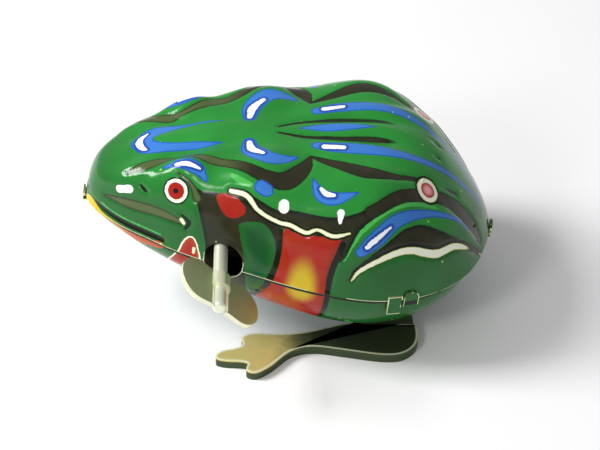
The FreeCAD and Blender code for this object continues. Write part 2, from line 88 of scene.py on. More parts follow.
# Strokes drawn flat in millimetres. From above: (x, distance from the middle, half width).
# From the side: (x, height over the seam, half width).
BLUE_ABOVE = [
    [(-14.5, 3.5, 0.1), (-18.5, 3.5, 0.8), (-24, 3, 1.1), (-28, 2, 1.8), (-29.5, 0, 2.1)],
    [(-25, 9.5, 0.3), (-22, 10, 1.2), (-19, 11.5, 1.2), (-17, 13.5, 0.2)],
    [(-9.5, 4, 1.3), (-9, 7, 1.9), (-6, 10, 1.8), (-3, 10, 1.1), (-0.5, 9, 0.2)],
    [(0, 0, 0.2), (5, 0, 1.2), (10, 0, 0.9), (14, 0, 0.1)],
    [(3, 5.5, 1), (8, 6.5, 1.5), (16, 7, 1.3), (23, 6, 0.9), (30, 3.5, 0.6), (36.5, 1, 0.3)],
    [(-7, 16, 1.3), (-6, 16.5, 1.3)],
    [(2.5, 14.5, 0.2), (4, 17.5, 1.2), (7, 18.5, 1.2), (11, 18, 0.1)],
]
BLUE_SIDE = [
    [(12.5, 10, 1), (15, 12.5, 1.6), (19, 15.5, 1.3), (25, 14.5, 0.7), (31, 10.5, 0.4), (33.5, 7.5, 0.2)],
]
WHITE_ABOVE = [
    [(-28.5, 2.5, 0.2), (-29.5, 1.5, 0.6), (-30, 0, 0.7)],
    [(-23, 10, 0.3), (-21, 10.5, 0.5), (-18.5, 11.5, 0.2)],
    [(-9.5, 4, 0.5), (-9, 6.5, 0.8), (-7, 8.5, 0.4)],
    [(4.5, 6, 0.6), (8, 6.5, 0.5)],
    [(4, 16.5, 0.3), (5, 17.5, 0.5), (6.5, 18, 0.3)],
]
WHITE_SIDE = [
    [(13.5, 11, 0.4), (15, 12.5, 0.5), (17.5, 14.5, 0.2)],
    # Painted highlight: this stroke is a glossy white spot on the snout.
    [(-33, 7.5, 0.7), (-31, 8.5, 0.8)],
    [(-2.5, 15, 1), (-2.5, 14.5, 1)],
    [(8, 16, 0.7), (8, 14.5, 0.3)],
]
OLIVE_ABOVE = [
    [(-32, 7.5, 0.3), (-29, 7.5, 1.1), (-24.5, 6.5, 1), (-22, 7, 0.6), (-17, 9, 1.2), (-12, 11, 1.2),
     (-6.5, 14.5, 1.4), (-2.5, 15, 1.9), (0.5, 12, 1.6), (2, 8.5, 0.3)],
    [(2, 8.5, 0.3), (6.5, 11, 1.1), (12, 13.5, 1.7), (17.5, 13, 0.9), (21, 11.5, 0.6), (30.5, 7, 0.5)],
    [(-4, 1, 0.3), (2, 2.5, 0.4), (14, 3, 0.7), (27, 2, 0.3)],
    [(13.5, 20.5, 1.3), (20, 16, 1.4), (28, 11, 1.5), (33, 9, 1.8), (36.5, 8.5, 0.8)],
]
OLIVE_SIDE = [
    [(-35.5, 4.5, 0.3), (-31, 5.5, 1), (-25, 6.5, 1), (-21, 6.5, 0.6)],
    [(-22.5, 15, 0.2), (-20, 14, 0.5), (-18.5, 12, 0.9)],
]
WAVE = [
    (-12.5, 15, 0.4), (-9.5, 15, 0.5), (-7, 13, 0.4), (-3.5, 12, 0.4), (-1, 12, 0.4), (2, 11.5, 0.4),
    (4, 12.5, 0.3), (7, 12, 0.4), (10, 13, 0.2),
]
THIGH = [
    (11.5, 4, 0.2), (13, 6.5, 0.4), (18, 9.5, 0.6), (22, 10, 0.7),
    (27, 8, 0.8), (31.5, 7, 0.6), (37, 0.5, 0.2),
]
SPOT = (24.5, 12)
BLACK_SIDE = [
    [(-39, 2.5, 0.4), (-36, 1.5, 0.4), (-31, 1, 0.5), (-24, 1, 0.5)],
    [(-21, 8, 0.2), (-19.5, 7, 0.4), (-20, 5.5, 0.3)],
    [(-29, 10, 0.3), (-28, 9.5, 0.3)],
    [(9, 11, 0.6), (7.5, 4.5, 0.6), (7.5, -3, 0.5), (7, -8.5, 0.4)],
    [(-2.5, 8.5, 0.5), (-3, 2, 0.6), (-6, -6.5, 0.5)],
    # Painted shadow: the last two strokes darken the pressed edges of the wave and thigh lines.
    [(x, z, half + 0.4) for x, z, half in WAVE],
    [(x, z + 0.3, half + 0.4) for x, z, half in THIGH],
]
CREAM_SIDE = [
    WAVE,
    THIGH,
    [(-21, 7, 0.4), (-20.5, 6.5, 0.4)],
    [(-18, 1, 0.3), (-18, 2, 0.3)],
    [(-24, 0, 0.4), (-23.5, -0.5, 0.4)],
]
# Painted highlights: light green strokes along the raised thigh rim, the mouth's upper edge and a few other
# raised lines, where light catches the edge.
RIDGE_HIGHLIGHT_ABOVE = [
    [(12, 22.5, 0.4), (17, 19.5, 0.5), (23.5, 15.5, 0.4), (32.5, 10.5, 0.3)],
    [(-12.5, 13.5, 0.4), (-10.5, 15, 0.7), (-9, 15.5, 0.4)],
]
RIDGE_HIGHLIGHT_SIDE = [
    [(9.5, 8, 0.3), (12, 13.5, 0.4)],
    [(-36, 2.5, 0.2), (-33, 2, 0.2), (-24.5, 2, 0.2)],
]
# Outlines of the patches from the side, (x, height over the seam)
RED = [
    [(-15, 13.5), (-12.5, 14.5), (-10, 13.5), (-9.5, 12), (-11.5, 10.5), (-13.5, 11)],
    [(-2, 11), (0, 11), (5, 11.5), (8.5, 12), (8, 8.5), (7, 5), (7, -5), (6.5, -9), (0, -9.5), (-5.5, -8.5),
     (-3, -1), (-2, 6)],
]
THROAT = [(-19, 4), (-18, 3.5), (-16.5, -1), (-17, -3), (-22, -5), (-20.5, 0.5), (-20, 2.5)]
LIP = [(-38.5, 1.5), (-35, 0.5), (-27, 0), (-24.5, 0.5), (-23.5, 0), (-24.5, -2), (-33, -4.5), (-38.5, -4.5)]
DARK = [
    [(-9.5, 15.5), (-4, 14), (-1, 14.5), (6, 15), (11, 16.5), (16, 19), (16.5, 17.5), (12, 14), (9.5, 8),
     (8, 8), (8, 11.5), (3, 11), (-4, 11.5)],
    # Painted shadow: this patch darkens the flank round the key hole and the key's shaft, along with the dark
    # print behind the eye.
    [(-20, 14.5), (-18, 13.5), (-11, 14.5), (-5, 12), (-2.5, 11.5), (-1.5, 5), (-3, -2), (-5, -8), (-15, -4),
     (-16, 3.5), (-18, 10)],
    [(11, 4), (12.5, 7.5), (18, 12.5), (21, 14), (25, 13), (32, 7.5), (27, 8.5), (23.5, 10.5), (20, 11),
     (14, 7)],
]
ARM = [(-10, 10), (-6, 11), (-3.5, 8.5), (-3, 3), (-5, -3.5), (-7, -6.5), (-8.5, 2.5), (-10, 8)]
EYE = (-22.5, 12)


def to_body(co):
    """Millimetre positions in the body frame, with the side folded on to one half."""
    x = co[:, 0] / MM
    y = co[:, 1] / MM - MIDDLE_Y
    z = co[:, 2] / MM - LIFT
    c, s = math.cos(PITCH), math.sin(PITCH)
    return np.stack([x * c - z * s, np.abs(y), x * s + z * c], axis=1)


def from_body(x, y, z):
    """Metres in the toy's frame from millimetres in the body frame."""
    c, s = math.cos(PITCH), math.sin(PITCH)
    return Vector(((x * c + z * s) * MM, (y + MIDDLE_Y) * MM, (z * c - x * s + LIFT) * MM))


def flowing(points, steps=6, closed=False):
    """Points of a smooth curve through the given ones, their last number eased along with them."""
    p = np.array(points, float)
    if closed:
        p = np.vstack([p[-1:], p, p[:2]])
    else:
        p = np.vstack([2 * p[0] - p[1], p, 2 * p[-1] - p[-2]])
    t = np.linspace(0.0, 1.0, steps, endpoint=False)[:, None]
    runs = []
    for a, b, c, d in zip(p, p[1:], p[2:], p[3:]):
        bend = (2 * a - 5 * b + 4 * c - d) * t ** 2 + (3 * b - a - 3 * c + d) * t ** 3
        runs.append(0.5 * (2 * b + (c - a) * t + bend))
    if not closed:
        runs.append(p[-2:-1])
    return np.vstack(runs)


def on_shell(flat, skin, axes):
    """Give each flat point its missing coordinate from the nearest place on the shell."""
    missing = 3 - sum(axes)
    lifted = []
    for item in flat:
        near = np.argmin((skin[:, axes[0]] - item[0]) ** 2 + (skin[:, axes[1]] - item[1]) ** 2)
        place = [0.0, 0.0, 0.0]
        place[axes[0]], place[axes[1]], place[missing] = item[0], item[1], skin[near, missing]
        lifted.append(tuple(place) + tuple(item[2:]))
    return lifted


def stroke_gap(points, skin, above=(), side=()):
    """Distance in millimetres to the nearest tapered stroke, negative inside it."""
    best = np.full(len(points), FAR)
    strokes = [on_shell(s, skin, (0, 1)) for s in above] + [on_shell(s, skin, (0, 2)) for s in side]
    for stroke in strokes:
        line = flowing(stroke)
        low = line[:, :3].min(0) - REACH
        high = line[:, :3].max(0) + REACH
        near = np.flatnonzero(((points > low) & (points < high)).all(1))
        p = points[near]
        gap = np.full(len(near), FAR)
        for a, b in zip(line, line[1:]):
            way = b[:3] - a[:3]
            t = np.clip((p - a[:3]) @ way / (way @ way + TINY), 0.0, 1.0)
            reach = np.linalg.norm(p - a[:3] - t[:, None] * way, axis=1)
            gap = np.minimum(gap, reach - np.maximum(a[3] + t * (b[3] - a[3]), 0.0))
        best[near] = np.minimum(best[near], gap)
    return best


def spot_gap(points, skin, centre, axes):
    """Distance in millimetres from the middle of a round mark."""
    middle = np.array(on_shell([centre], skin, axes)[0])
    return np.linalg.norm(points - middle, axis=1)


def patch_gap(points, outline):
    """Distance in millimetres to a rounded outline seen from the side, negative inside it."""
    p = points[:, [0, 2]]
    best = np.full(len(p), FAR)
    inside = np.zeros(len(p), bool)
    line = flowing(outline, closed=True)
    for a, b in zip(line, np.roll(line, -1, axis=0)):
        way = b - a
        t = np.clip((p - a) @ way / (way @ way + TINY), 0.0, 1.0)
        best = np.minimum(best, np.linalg.norm(p - a - t[:, None] * way, axis=1))
        crosses = (a[1] > p[:, 1]) != (b[1] > p[:, 1])
        rise = way[1] if abs(way[1]) > LEVEL else LEVEL
        inside ^= crosses & (p[:, 0] < a[0] + (p[:, 1] - a[1]) / rise * way[0])
    return np.where(inside, -best, best)


def store(mesh, name, values):
    """Keep one number per point on the mesh."""
    layer = mesh.attributes.new(name, "FLOAT", "POINT")
    layer.data.foreach_set("value", values.astype(np.float32))


def deselect():
    for o in list(bpy.context.selected_objects):
        o.select_set(False)


def make_active(obj):
    deselect()
    obj.select_set(True)
    bpy.context.view_layer.objects.active = obj


def copy_of(node, name):
    """A piece of its own made from a CAD node, with its loose corners merged."""
    source = frame["nodes"][node]
    mesh = source.data.copy()
    mesh.name = name
    piece = bpy.data.objects.new(name, mesh)
    bpy.context.scene.collection.objects.link(piece)
    mesh.materials.clear()
    make_active(piece)
    bpy.ops.object.mode_set(mode="EDIT")
    bpy.ops.mesh.select_all(action="SELECT")
    bpy.ops.mesh.remove_doubles(threshold=MERGE)
    bpy.ops.mesh.select_all(action="DESELECT")
    bpy.ops.object.mode_set(mode="OBJECT")
    if mesh.has_custom_normals:
        bpy.ops.mesh.customdata_custom_splitnormals_clear()
    return piece


def outer_faces(mesh):
    """True for each face that looks away from the inside of the body."""
    n = len(mesh.polygons)
    centres = np.empty(n * 3)
    normals = np.empty(n * 3)
    mesh.polygons.foreach_get("center", centres)
    mesh.polygons.foreach_get("normal", normals)
    centres = centres.reshape(-1, 3)
    normals = normals.reshape(-1, 3)
    middle = np.array(from_body(*BODY_MIDDLE))
    return ((centres - middle) * normals).sum(1) > 0


def place_of_points(mesh):
    co = np.empty(len(mesh.vertices) * 3)
    mesh.vertices.foreach_get("co", co)
    return co.reshape(-1, 3)


def ends_of_edges(mesh):
    ends = np.empty(len(mesh.edges) * 2, int)
    mesh.edges.foreach_get("vertices", ends)
    return ends.reshape(-1, 2)


def cut_edges(mesh, degrees):
    """End points of the edges where the sheet was cut, found by how much its surface turns there."""
    normals = np.empty(len(mesh.polygons) * 3)
    mesh.polygons.foreach_get("normal", normals)
    normals = normals.reshape(-1, 3)
    sides = np.empty(len(mesh.polygons), int)
    mesh.polygons.foreach_get("loop_total", sides)
    area = np.empty(len(mesh.polygons))
    mesh.polygons.foreach_get("area", area)
    edge_of_loop = np.empty(len(mesh.loops), int)
    mesh.loops.foreach_get("edge_index", edge_of_loop)
    face_of_loop = np.repeat(np.arange(len(mesh.polygons)), sides)
    order = np.argsort(edge_of_loop, kind="stable")
    edge_of_loop, face_of_loop = edge_of_loop[order], face_of_loop[order]
    whole = (area > SLIVER)[face_of_loop]
    paired = np.flatnonzero((edge_of_loop[1:] == edge_of_loop[:-1]) & whole[1:] & whole[:-1])
    bend = (normals[face_of_loop[paired]] * normals[face_of_loop[paired + 1]]).sum(1)
    return ends_of_edges(mesh)[edge_of_loop[paired][bend < math.cos(math.radians(degrees))]]


def refine(piece, longest):
    """Split long edges of the outer surface: rounded in the open, straight beside the cut edges."""
    mesh = piece.data
    for smoothness in (1.0, 0.0, 1.0, 0.0, 1.0, 0.0):
        outer = outer_faces(mesh)
        co = place_of_points(mesh)
        ends = ends_of_edges(mesh)
        length = np.linalg.norm(co[ends[:, 0]] - co[ends[:, 1]], axis=1)
        loops = np.empty(len(mesh.loops), int)
        mesh.loops.foreach_get("edge_index", loops)
        outer_sides = np.bincount(loops, np.repeat(outer, 3), len(mesh.edges))
        on_cut = np.zeros(len(mesh.vertices), bool)
        on_cut[cut_edges(mesh, CUT_TURN).ravel()] = True
        beside_cut = on_cut[ends].any(1)
        wanted = (length > longest) & (outer_sides == 2) & (beside_cut == (smoothness == 0.0))
        if not wanted.any():
            continue
        mesh.vertices.foreach_set("select", np.zeros(len(mesh.vertices), bool))
        mesh.polygons.foreach_set("select", np.zeros(len(mesh.polygons), bool))
        mesh.edges.foreach_set("select", wanted)
        bpy.ops.object.mode_set(mode="EDIT")
        bpy.context.tool_settings.mesh_select_mode = (False, True, False)
        bpy.ops.mesh.subdivide(number_cuts=1, smoothness=smoothness)
        bpy.ops.mesh.select_all(action="SELECT")
        bpy.ops.mesh.quads_convert_to_tris()
        bpy.ops.mesh.select_all(action="DESELECT")
        bpy.ops.object.mode_set(mode="OBJECT")


def smooth(piece, degrees):
    make_active(piece)
    bpy.ops.object.shade_smooth_by_angle(angle=math.radians(degrees))


def smooth_flat_sheet(piece, degrees):
    """Smooth the rolled edges and keep the large faces looking flat."""
    smooth(piece, degrees)
    even = piece.modifiers.new("even shading", "WEIGHTED_NORMAL")
    even.weight = 100
    even.keep_sharp = True
    bpy.ops.object.modifier_apply(modifier=even.name)


def cut_edge_gap(mesh, degrees):
    """Distance in millimetres from each point to the nearest cut edge of the sheet."""
    ends = cut_edges(mesh, degrees)
    co = place_of_points(mesh)
    tree = KDTree(len(ends) * EDGE_STEPS)
    for share in np.linspace(0.0, 1.0, EDGE_STEPS):
        for i, spot in enumerate(co[ends[:, 0]] * (1 - share) + co[ends[:, 1]] * share):
            tree.insert(spot, i)
    tree.balance()
    return np.array([tree.find(spot)[2] for spot in co]) / MM


def outer_points(mesh, every):
    """True for points whose faces all (or, if not every, some) look outwards."""
    outer = outer_faces(mesh)
    sides = np.empty(len(mesh.polygons), int)
    mesh.polygons.foreach_get("loop_total", sides)
    corner = np.empty(len(mesh.loops), int)
    mesh.loops.foreach_get("vertex_index", corner)
    count = np.bincount(corner, np.repeat(outer, sides), len(mesh.vertices))
    total = np.bincount(corner, minlength=len(mesh.vertices))
    return count == total if every else count > 0


def weigh(piece, weights):
    group = piece.vertex_groups.new(name="weights")
    for i in np.flatnonzero(weights > 0.01):
        group.add([int(i)], float(weights[i]), "REPLACE")
    return group


def even_out(piece, weights):
    """Take the small unevenness out of the open surface."""
    group = weigh(piece, weights)
    ease = piece.modifiers.new("even surface", "SMOOTH")
    ease.vertex_group = group.name
    ease.factor = 0.5
    ease.iterations = 5
    make_active(piece)
    bpy.ops.object.modifier_apply(modifier=ease.name)
    piece.vertex_groups.clear()


def press(piece, weights, depth):
    """Move points along their normals by depth times their weight."""
    group = weigh(piece, weights)
    push = piece.modifiers.new("pressed lines", "DISPLACE")
    push.vertex_group = group.name
    push.mid_level = 0.0
    push.strength = depth
    make_active(piece)
    bpy.ops.object.modifier_apply(modifier=push.name)
    piece.vertex_groups.clear()


# ---------------------------------------------------------------- materials

class Graph:
    """Short calls for adding shader nodes."""

    def __init__(self, name):
        self.material = bpy.data.materials.new(name)
        self.material.use_nodes = True
        self.tree = self.material.node_tree
        self.shader = self.tree.nodes["Principled BSDF"]

    def add(self, kind, **settings):
        node = self.tree.nodes.new(kind)
        for key, value in settings.items():
            setattr(node, key, value)
        return node

    def link(self, source, target):
        self.tree.links.new(source, target)

    def value(self, operation, a, b=0.0, clamp=False):
        node = self.add("ShaderNodeMath", operation=operation, use_clamp=clamp)
        for slot, item in enumerate((a, b)):
            if isinstance(item, (int, float)):
                node.inputs[slot].default_value = item
            else:
                self.link(item, node.inputs[slot])
        return node.outputs[0]

    def span(self, value, low, high, out_low=0.0, out_high=1.0):
        node = self.add("ShaderNodeMapRange", interpolation_type="SMOOTHSTEP")
        self.link(value, node.inputs["Value"])
        for key, number in (("From Min", low), ("From Max", high), ("To Min", out_low), ("To Max", out_high)):
            node.inputs[key].default_value = number
        return node.outputs["Result"]

    def mix(self, share, under, over):
        node = self.add("ShaderNodeMix", data_type="RGBA")
        sockets = {"Factor": node.inputs[0], "A": node.inputs[6], "B": node.inputs[7]}
        for key, item in (("Factor", share), ("A", under), ("B", over)):
            if isinstance(item, (int, float)):
                sockets[key].default_value = item
            elif hasattr(item, "is_output"):
                self.link(item, sockets[key])
            else:
                sockets[key].default_value = (item[0], item[1], item[2], 1.0)
        return node.outputs[2]

    def noise(self, scale, detail=3.0, stretch=(1.0, 1.0, 1.0)):
        place = self.add("ShaderNodeTexCoord")
        turn = self.add("ShaderNodeMapping")
        turn.inputs["Scale"].default_value = stretch
        node = self.add("ShaderNodeTexNoise")
        node.inputs["Scale"].default_value = scale
        node.inputs["Detail"].default_value = detail
        self.link(place.outputs["Object"], turn.inputs["Vector"])
        self.link(turn.outputs["Vector"], node.inputs["Vector"])
        return node.outputs["Fac"]

    def attribute(self, name):
        return self.add("ShaderNodeAttribute", attribute_name=name).outputs["Fac"]

    def bump(self, height, strength, distance):
        node = self.add("ShaderNodeBump")
        node.inputs["Strength"].default_value = strength
        node.inputs["Distance"].default_value = distance
        self.link(height, node.inputs["Height"])
        self.link(node.outputs["Normal"], self.shader.inputs["Normal"])


def printed_finish(name, base_low, base_high):
    """Lacquered litho print: inks laid one over another on a green ground, with painted highlights along
    raised lines and painted shadow round the key hole, along the wave and thigh lines and under the seam.
    """
    inks = bpy.context.scene.frog_print
    g = Graph(name)
    ragged = g.value("MULTIPLY", g.value("SUBTRACT", g.noise(1400.0, 2.0), 0.5), 0.10)

    def mask(attribute, soft=INK_EDGE):
        return g.span(g.value("ADD", g.attribute(attribute), ragged), soft, -soft)

    def ink(attribute, colour, under, edge=None, width=0.5):
        tone = tuple(colour)
        if edge is not None:
            tone = g.mix(g.span(g.attribute(attribute), -width, 0.0), tone, tuple(edge))
        return g.mix(mask(attribute), under, tone)

    ground = g.mix(g.span(g.attribute("rise"), 6.0, 16.0), base_low, base_high)
    mottle = g.span(g.noise(90.0, 5.0), 0.35, 0.75, 0.0, 0.30)
    ground = g.mix(mottle, ground, tuple(0.5 * c for c in base_low))
    # Painted highlight: light green along the raised lines.
    ground = ink("ridge_highlight", tuple(inks.ridge_highlight), ground)
    cloudy = g.mix(g.span(g.noise(240.0, 4.0), 0.35, 0.7), tuple(inks.olive), tuple(inks.brown))
    # The dark patches are print, and round the key hole painted shadow; more than a millimetre inside they
    # turn black.
    shade = g.mix(g.span(g.attribute("dark"), -1.0, 0.0), cloudy, tuple(inks.black))
    ground = g.mix(mask("dark", SHADE_EDGE), ground, shade)
    ground = ink("arm", tuple(inks.deep_green), ground, tuple(inks.side_green), 2.2)
    shadow = g.mix(g.span(g.attribute("along"), -16.0, -9.0), tuple(inks.moss), cloudy)
    shadow = g.mix(g.span(g.attribute("olive"), -0.55, 0.0, 0.0, 0.85), shadow, tuple(inks.black))
    ground = g.mix(mask("olive", 0.16), ground, shadow)
    fiery = g.mix(g.span(g.noise(300.0, 4.0), 0.3, 0.8, 0.0, 0.5), tuple(inks.red), tuple(inks.rust))
    ground = g.mix(mask("red"), ground, fiery)
    glow = g.value("MULTIPLY", g.span(g.attribute("glow"), 4.6, 1.6), mask("red"))
    ground = g.mix(glow, ground, tuple(inks.yellow))
    ground = ink("black", tuple(inks.black), ground)
    ground = g.mix(g.span(g.attribute("throat_line"), 0.36, 0.26), ground, tuple(inks.cream))
    ground = ink("throat", tuple(inks.red), ground, tuple(inks.rust), 1.2)
    lip = g.mix(g.span(g.attribute("along"), -36.0, -28.5), tuple(inks.yellow), tuple(inks.orange))
    ground = g.mix(mask("lip"), ground, lip)
    ground = g.mix(mask("blue", SHADE_EDGE), ground, tuple(inks.blue))
    halo = g.value("MULTIPLY", g.span(g.attribute("white"), 0.75, 0.25), mask("blue"))
    ground = g.mix(halo, ground, tuple(inks.blue_edge))
    border = g.value("MULTIPLY", g.span(g.attribute("blue"), -0.32, -0.05), mask("blue"))
    ground = g.mix(border, ground, tuple(inks.blue_edge))
    ground = ink("cream", tuple(inks.cream), ground, tuple(inks.yellow_line), 0.22)
    ground = ink("white", HIGHLIGHT, ground)
    ground = ink("pink", SPOT_PINK, ground, tuple(inks.red), 1.15)
    # Painted shadow: a black line along the belly's top edge, under the rim of the back.
    ground = g.mix(g.span(g.attribute("seam"), 0.42, 0.30), ground, tuple(inks.black))

    eye = g.attribute("eye")
    rings = {"outline": inks.black, "ring": inks.cream, "iris": inks.red, "pupil": inks.black}
    for part, colour in rings.items():
        radius = EYE_RADII[part]
        ground = g.mix(g.span(eye, radius + INK_EDGE, radius - INK_EDGE), ground, tuple(colour))

    place = g.add("ShaderNodeTexCoord")
    speck = g.add("ShaderNodeTexVoronoi")
    speck.inputs["Scale"].default_value = 300.0
    g.link(place.outputs["Object"], speck.inputs["Vector"])
    dot = g.span(speck.outputs["Distance"], 0.085, 0.055)
    split = g.add("ShaderNodeSeparateColor")
    g.link(speck.outputs["Color"], split.inputs[0])
    some = g.value("GREATER_THAN", split.outputs[0], 0.66)
    ground = g.mix(g.value("MULTIPLY", g.value("MULTIPLY", dot, some), 0.75), ground, SPECK_GREEN)

    bare = g.span(g.value("ADD", g.attribute("cut"), ragged), 0.17, 0.07)
    ground = g.mix(bare, ground, tuple(inks.tin))
    g.link(ground, g.shader.inputs["Base Color"])
    g.link(bare, g.shader.inputs["Metallic"])
    handling = g.span(g.noise(160.0, 5.0), 0.25, 0.75, inks.gloss_low, inks.gloss_high)
    g.link(handling, g.shader.inputs["Roughness"])
    g.shader.inputs["Specular IOR Level"].default_value = 0.22
    g.shader.inputs["Coat Weight"].default_value = 0.12
    g.shader.inputs["Coat Roughness"].default_value = 0.05
    g.bump(g.noise(420.0, 3.0), 0.05, 0.0002)
    return g.material


def tin_finish(name, colour, rough, brush=EVEN, scale=900.0, stain=0.25, bare=1.0):
    """Bare sheet or turned metal with fine rolling marks and smudges."""
    g = Graph(name)
    grain = g.noise(scale, 4.0, brush)
    cloud = g.noise(130.0, 5.0)
    low = tuple(0.5 * c for c in colour)
    tone = g.mix(g.span(cloud, 0.35, 0.75, 0.0, stain), colour, low)
    tone = g.mix(g.span(grain, 0.3, 0.7, 0.0, 0.12), tone, low)
    g.link(tone, g.shader.inputs["Base Color"])
    g.shader.inputs["Metallic"].default_value = bare
    smudge = g.span(cloud, 0.2, 0.8, rough * 0.75, rough * 1.3)
    gloss = g.value("ADD", smudge, g.span(grain, 0.3, 0.7, -0.04, 0.04))
    g.link(gloss, g.shader.inputs["Roughness"])
    g.bump(grain, 0.12, 0.0001)
    return g.material


def foot_finish(name):
    """Pressed sheet: yellow tin at the toes, darkened by painted shade towards the back and along the bottom
    edge.
    """
    metal = bpy.context.scene.frog_metal
    g = Graph(name)
    place = g.add("ShaderNodeTexCoord")
    parts = g.add("ShaderNodeSeparateXYZ")
    g.link(place.outputs["Object"], parts.inputs[0])
    cloud = g.noise(160.0, 5.0)
    # Painted shade: darker towards the back of the foot, standing in for the dark reflection of the shaded
    # belly.
    reach = g.value("ADD", parts.outputs["X"], g.span(cloud, 0.3, 0.7, -0.002, 0.002))
    tone = g.mix(g.span(cloud, 0.35, 0.75, 0.0, 0.35), tuple(metal.foot), tuple(0.45 * c for c in metal.foot))
    tone = g.mix(g.span(reach, -0.004, 0.006), tone, tuple(metal.heel_shade))
    # Painted shadow: darker along the bottom edge, near the floor.
    height = parts.outputs["Z"]
    tone = g.mix(g.span(height, 0.00185, 0.00140), tone, tuple(metal.heel_shade))
    g.link(tone, g.shader.inputs["Base Color"])
    g.shader.inputs["Metallic"].default_value = 0.65
    g.link(g.span(cloud, 0.2, 0.8, 0.38, 0.58), g.shader.inputs["Roughness"])
    g.bump(g.noise(700.0, 4.0), 0.12, 0.0001)
    return g.material


# ---------------------------------------------------------------- settings

def colour_setting(name, description, value):
    return FloatVectorProperty(
        name=name, description=description, subtype="COLOR", size=3, min=0.0, max=1.0, default=value)


def length_setting(name, description, value, least=0.0, most=1.0):
    return FloatProperty(name=name, description=description, default=value, min=least, max=most,
                         subtype="DISTANCE", unit="LENGTH")


def share_setting(name, description, value):
    return FloatProperty(name=name, description=description, default=value, min=0.0, max=1.0)


class FrogPrint(bpy.types.PropertyGroup):
    """Inks of the printed shells, and the painted highlight colour for raised lines."""
    top_green: colour_setting("Top green", "Ground colour of the back", (0.020, 0.260, 0.034))
    side_green: colour_setting("Side green", "Ground colour of the flanks", (0.014, 0.130, 0.022))
    deep_green: colour_setting("Deep green", "Foreleg green", (0.008, 0.085, 0.022))
    # Painted highlight colour for the light caught along raised lines.
    ridge_highlight: colour_setting("Leaf green", "Light green along raised lines", (0.060, 0.420, 0.075))
    olive: colour_setting("Olive", "Dark olive shadow ink", (0.018, 0.020, 0.008))
    moss: colour_setting("Moss", "Paler shadow ink on the head", (0.075, 0.110, 0.035))
    brown: colour_setting("Brown", "Warmer tone in the shadow ink", (0.032, 0.027, 0.012))
    black: colour_setting("Black", "Outline ink", (0.003, 0.008, 0.003))
    blue: colour_setting("Blue", "Stripe ink", (0.040, 0.180, 0.570))
    blue_edge: colour_setting("Blue edge", "Darker blue round stripes and highlights", (0.008, 0.060, 0.340))
    red: colour_setting("Red", "Patch ink", (0.370, 0.012, 0.007))
    rust: colour_setting("Rust", "Lower part of the red patches", (0.360, 0.048, 0.009))
    orange: colour_setting("Orange", "Lower lip ink", (0.520, 0.080, 0.015))
    yellow: colour_setting("Yellow", "Glow and lip ink", (0.600, 0.430, 0.014))
    yellow_line: colour_setting("Yellow line", "Edge of the cream lines", (0.700, 0.740, 0.260))
    cream: colour_setting("Cream", "Pale line ink", (0.880, 0.900, 0.720))
    tin: colour_setting("Tin", "Bare cut edge of the sheet", (0.640, 0.720, 0.420))
    gloss_low: share_setting("Gloss low", "Roughness of the cleanest lacquer", 0.14)
    gloss_high: share_setting("Gloss high", "Roughness of handled lacquer", 0.26)
    detail: length_setting("Print detail", "Longest mesh edge under the print", 0.00045, 0.0002)
    press_depth: length_setting(
        "Pressed depth", "Depth of the lines pressed into the sheet", 0.0002, most=0.0003)
    bead: length_setting("Seam bead", "Height of the bead along the rim", 0.00014, most=0.0003)


class FrogMetal(bpy.types.PropertyGroup):
    """Bare metal finishes, with painted shade for the feet and a painted highlight colour for the rims."""
    key: colour_setting("Key tin", "Dull tinned sheet of the key", (0.560, 0.640, 0.360))
    foot: colour_setting("Foot tin", "Yellowed tinned sheet of the toes", (0.950, 0.780, 0.280))
    # Painted shade: dark colour towards the back of each foot and along its bottom edge, for the reflection
    # of the shaded belly and the shadow near the floor.
    heel_shade: colour_setting("Heel tin", "Smoked sheet of the heel and strap", (0.060, 0.085, 0.040))
    # Painted highlight: pale colour on the rolled edges of the key and on the border round each foot.
    rim: colour_setting("Bright rim", "Rubbed rims of key and feet", (0.900, 0.920, 0.660))
    steel: colour_setting("Frame steel", "Stamped steel of the clockwork", (0.450, 0.450, 0.450))
    bright: colour_setting("Bright steel", "Turned shafts", (0.930, 0.950, 0.760))
    spring: colour_setting("Spring steel", "Blued springs", (0.090, 0.110, 0.180))
    brass: colour_setting("Brass", "Wheels and collars", (0.760, 0.550, 0.220))
    # Painted highlight: width of the pale border round the top of each foot.
    foot_highlight_border: length_setting("Foot border", "Bright border round each foot", 0.0004)
    edge: length_setting("Rounded edge", "Radius of the rolled sheet edges", 0.00018)


class FrogStage(bpy.types.PropertyGroup):
    """Camera, lights and floor."""
    distance: length_setting("Camera distance", "From the lens to the toy", 0.65, most=10.0)
    lens: FloatProperty(name="Lens", description="Focal length in millimetres", default=203.2)
    elevation: FloatProperty(name="Camera elevation", description="Angle above the floor",
                             default=math.radians(38.0), subtype="ANGLE", unit="ROTATION")
    floor: colour_setting("Floor", "Pale sweep under the toy", (0.92, 0.92, 0.92))
    world: FloatProperty(name="Fill light", description="Strength of the room light", default=0.42)
    key_power: FloatProperty(name="Key light", description="Power of the large panel at the upper left",
                             default=4.0, subtype="POWER", unit="POWER")


# ---------------------------------------------------------------- pieces

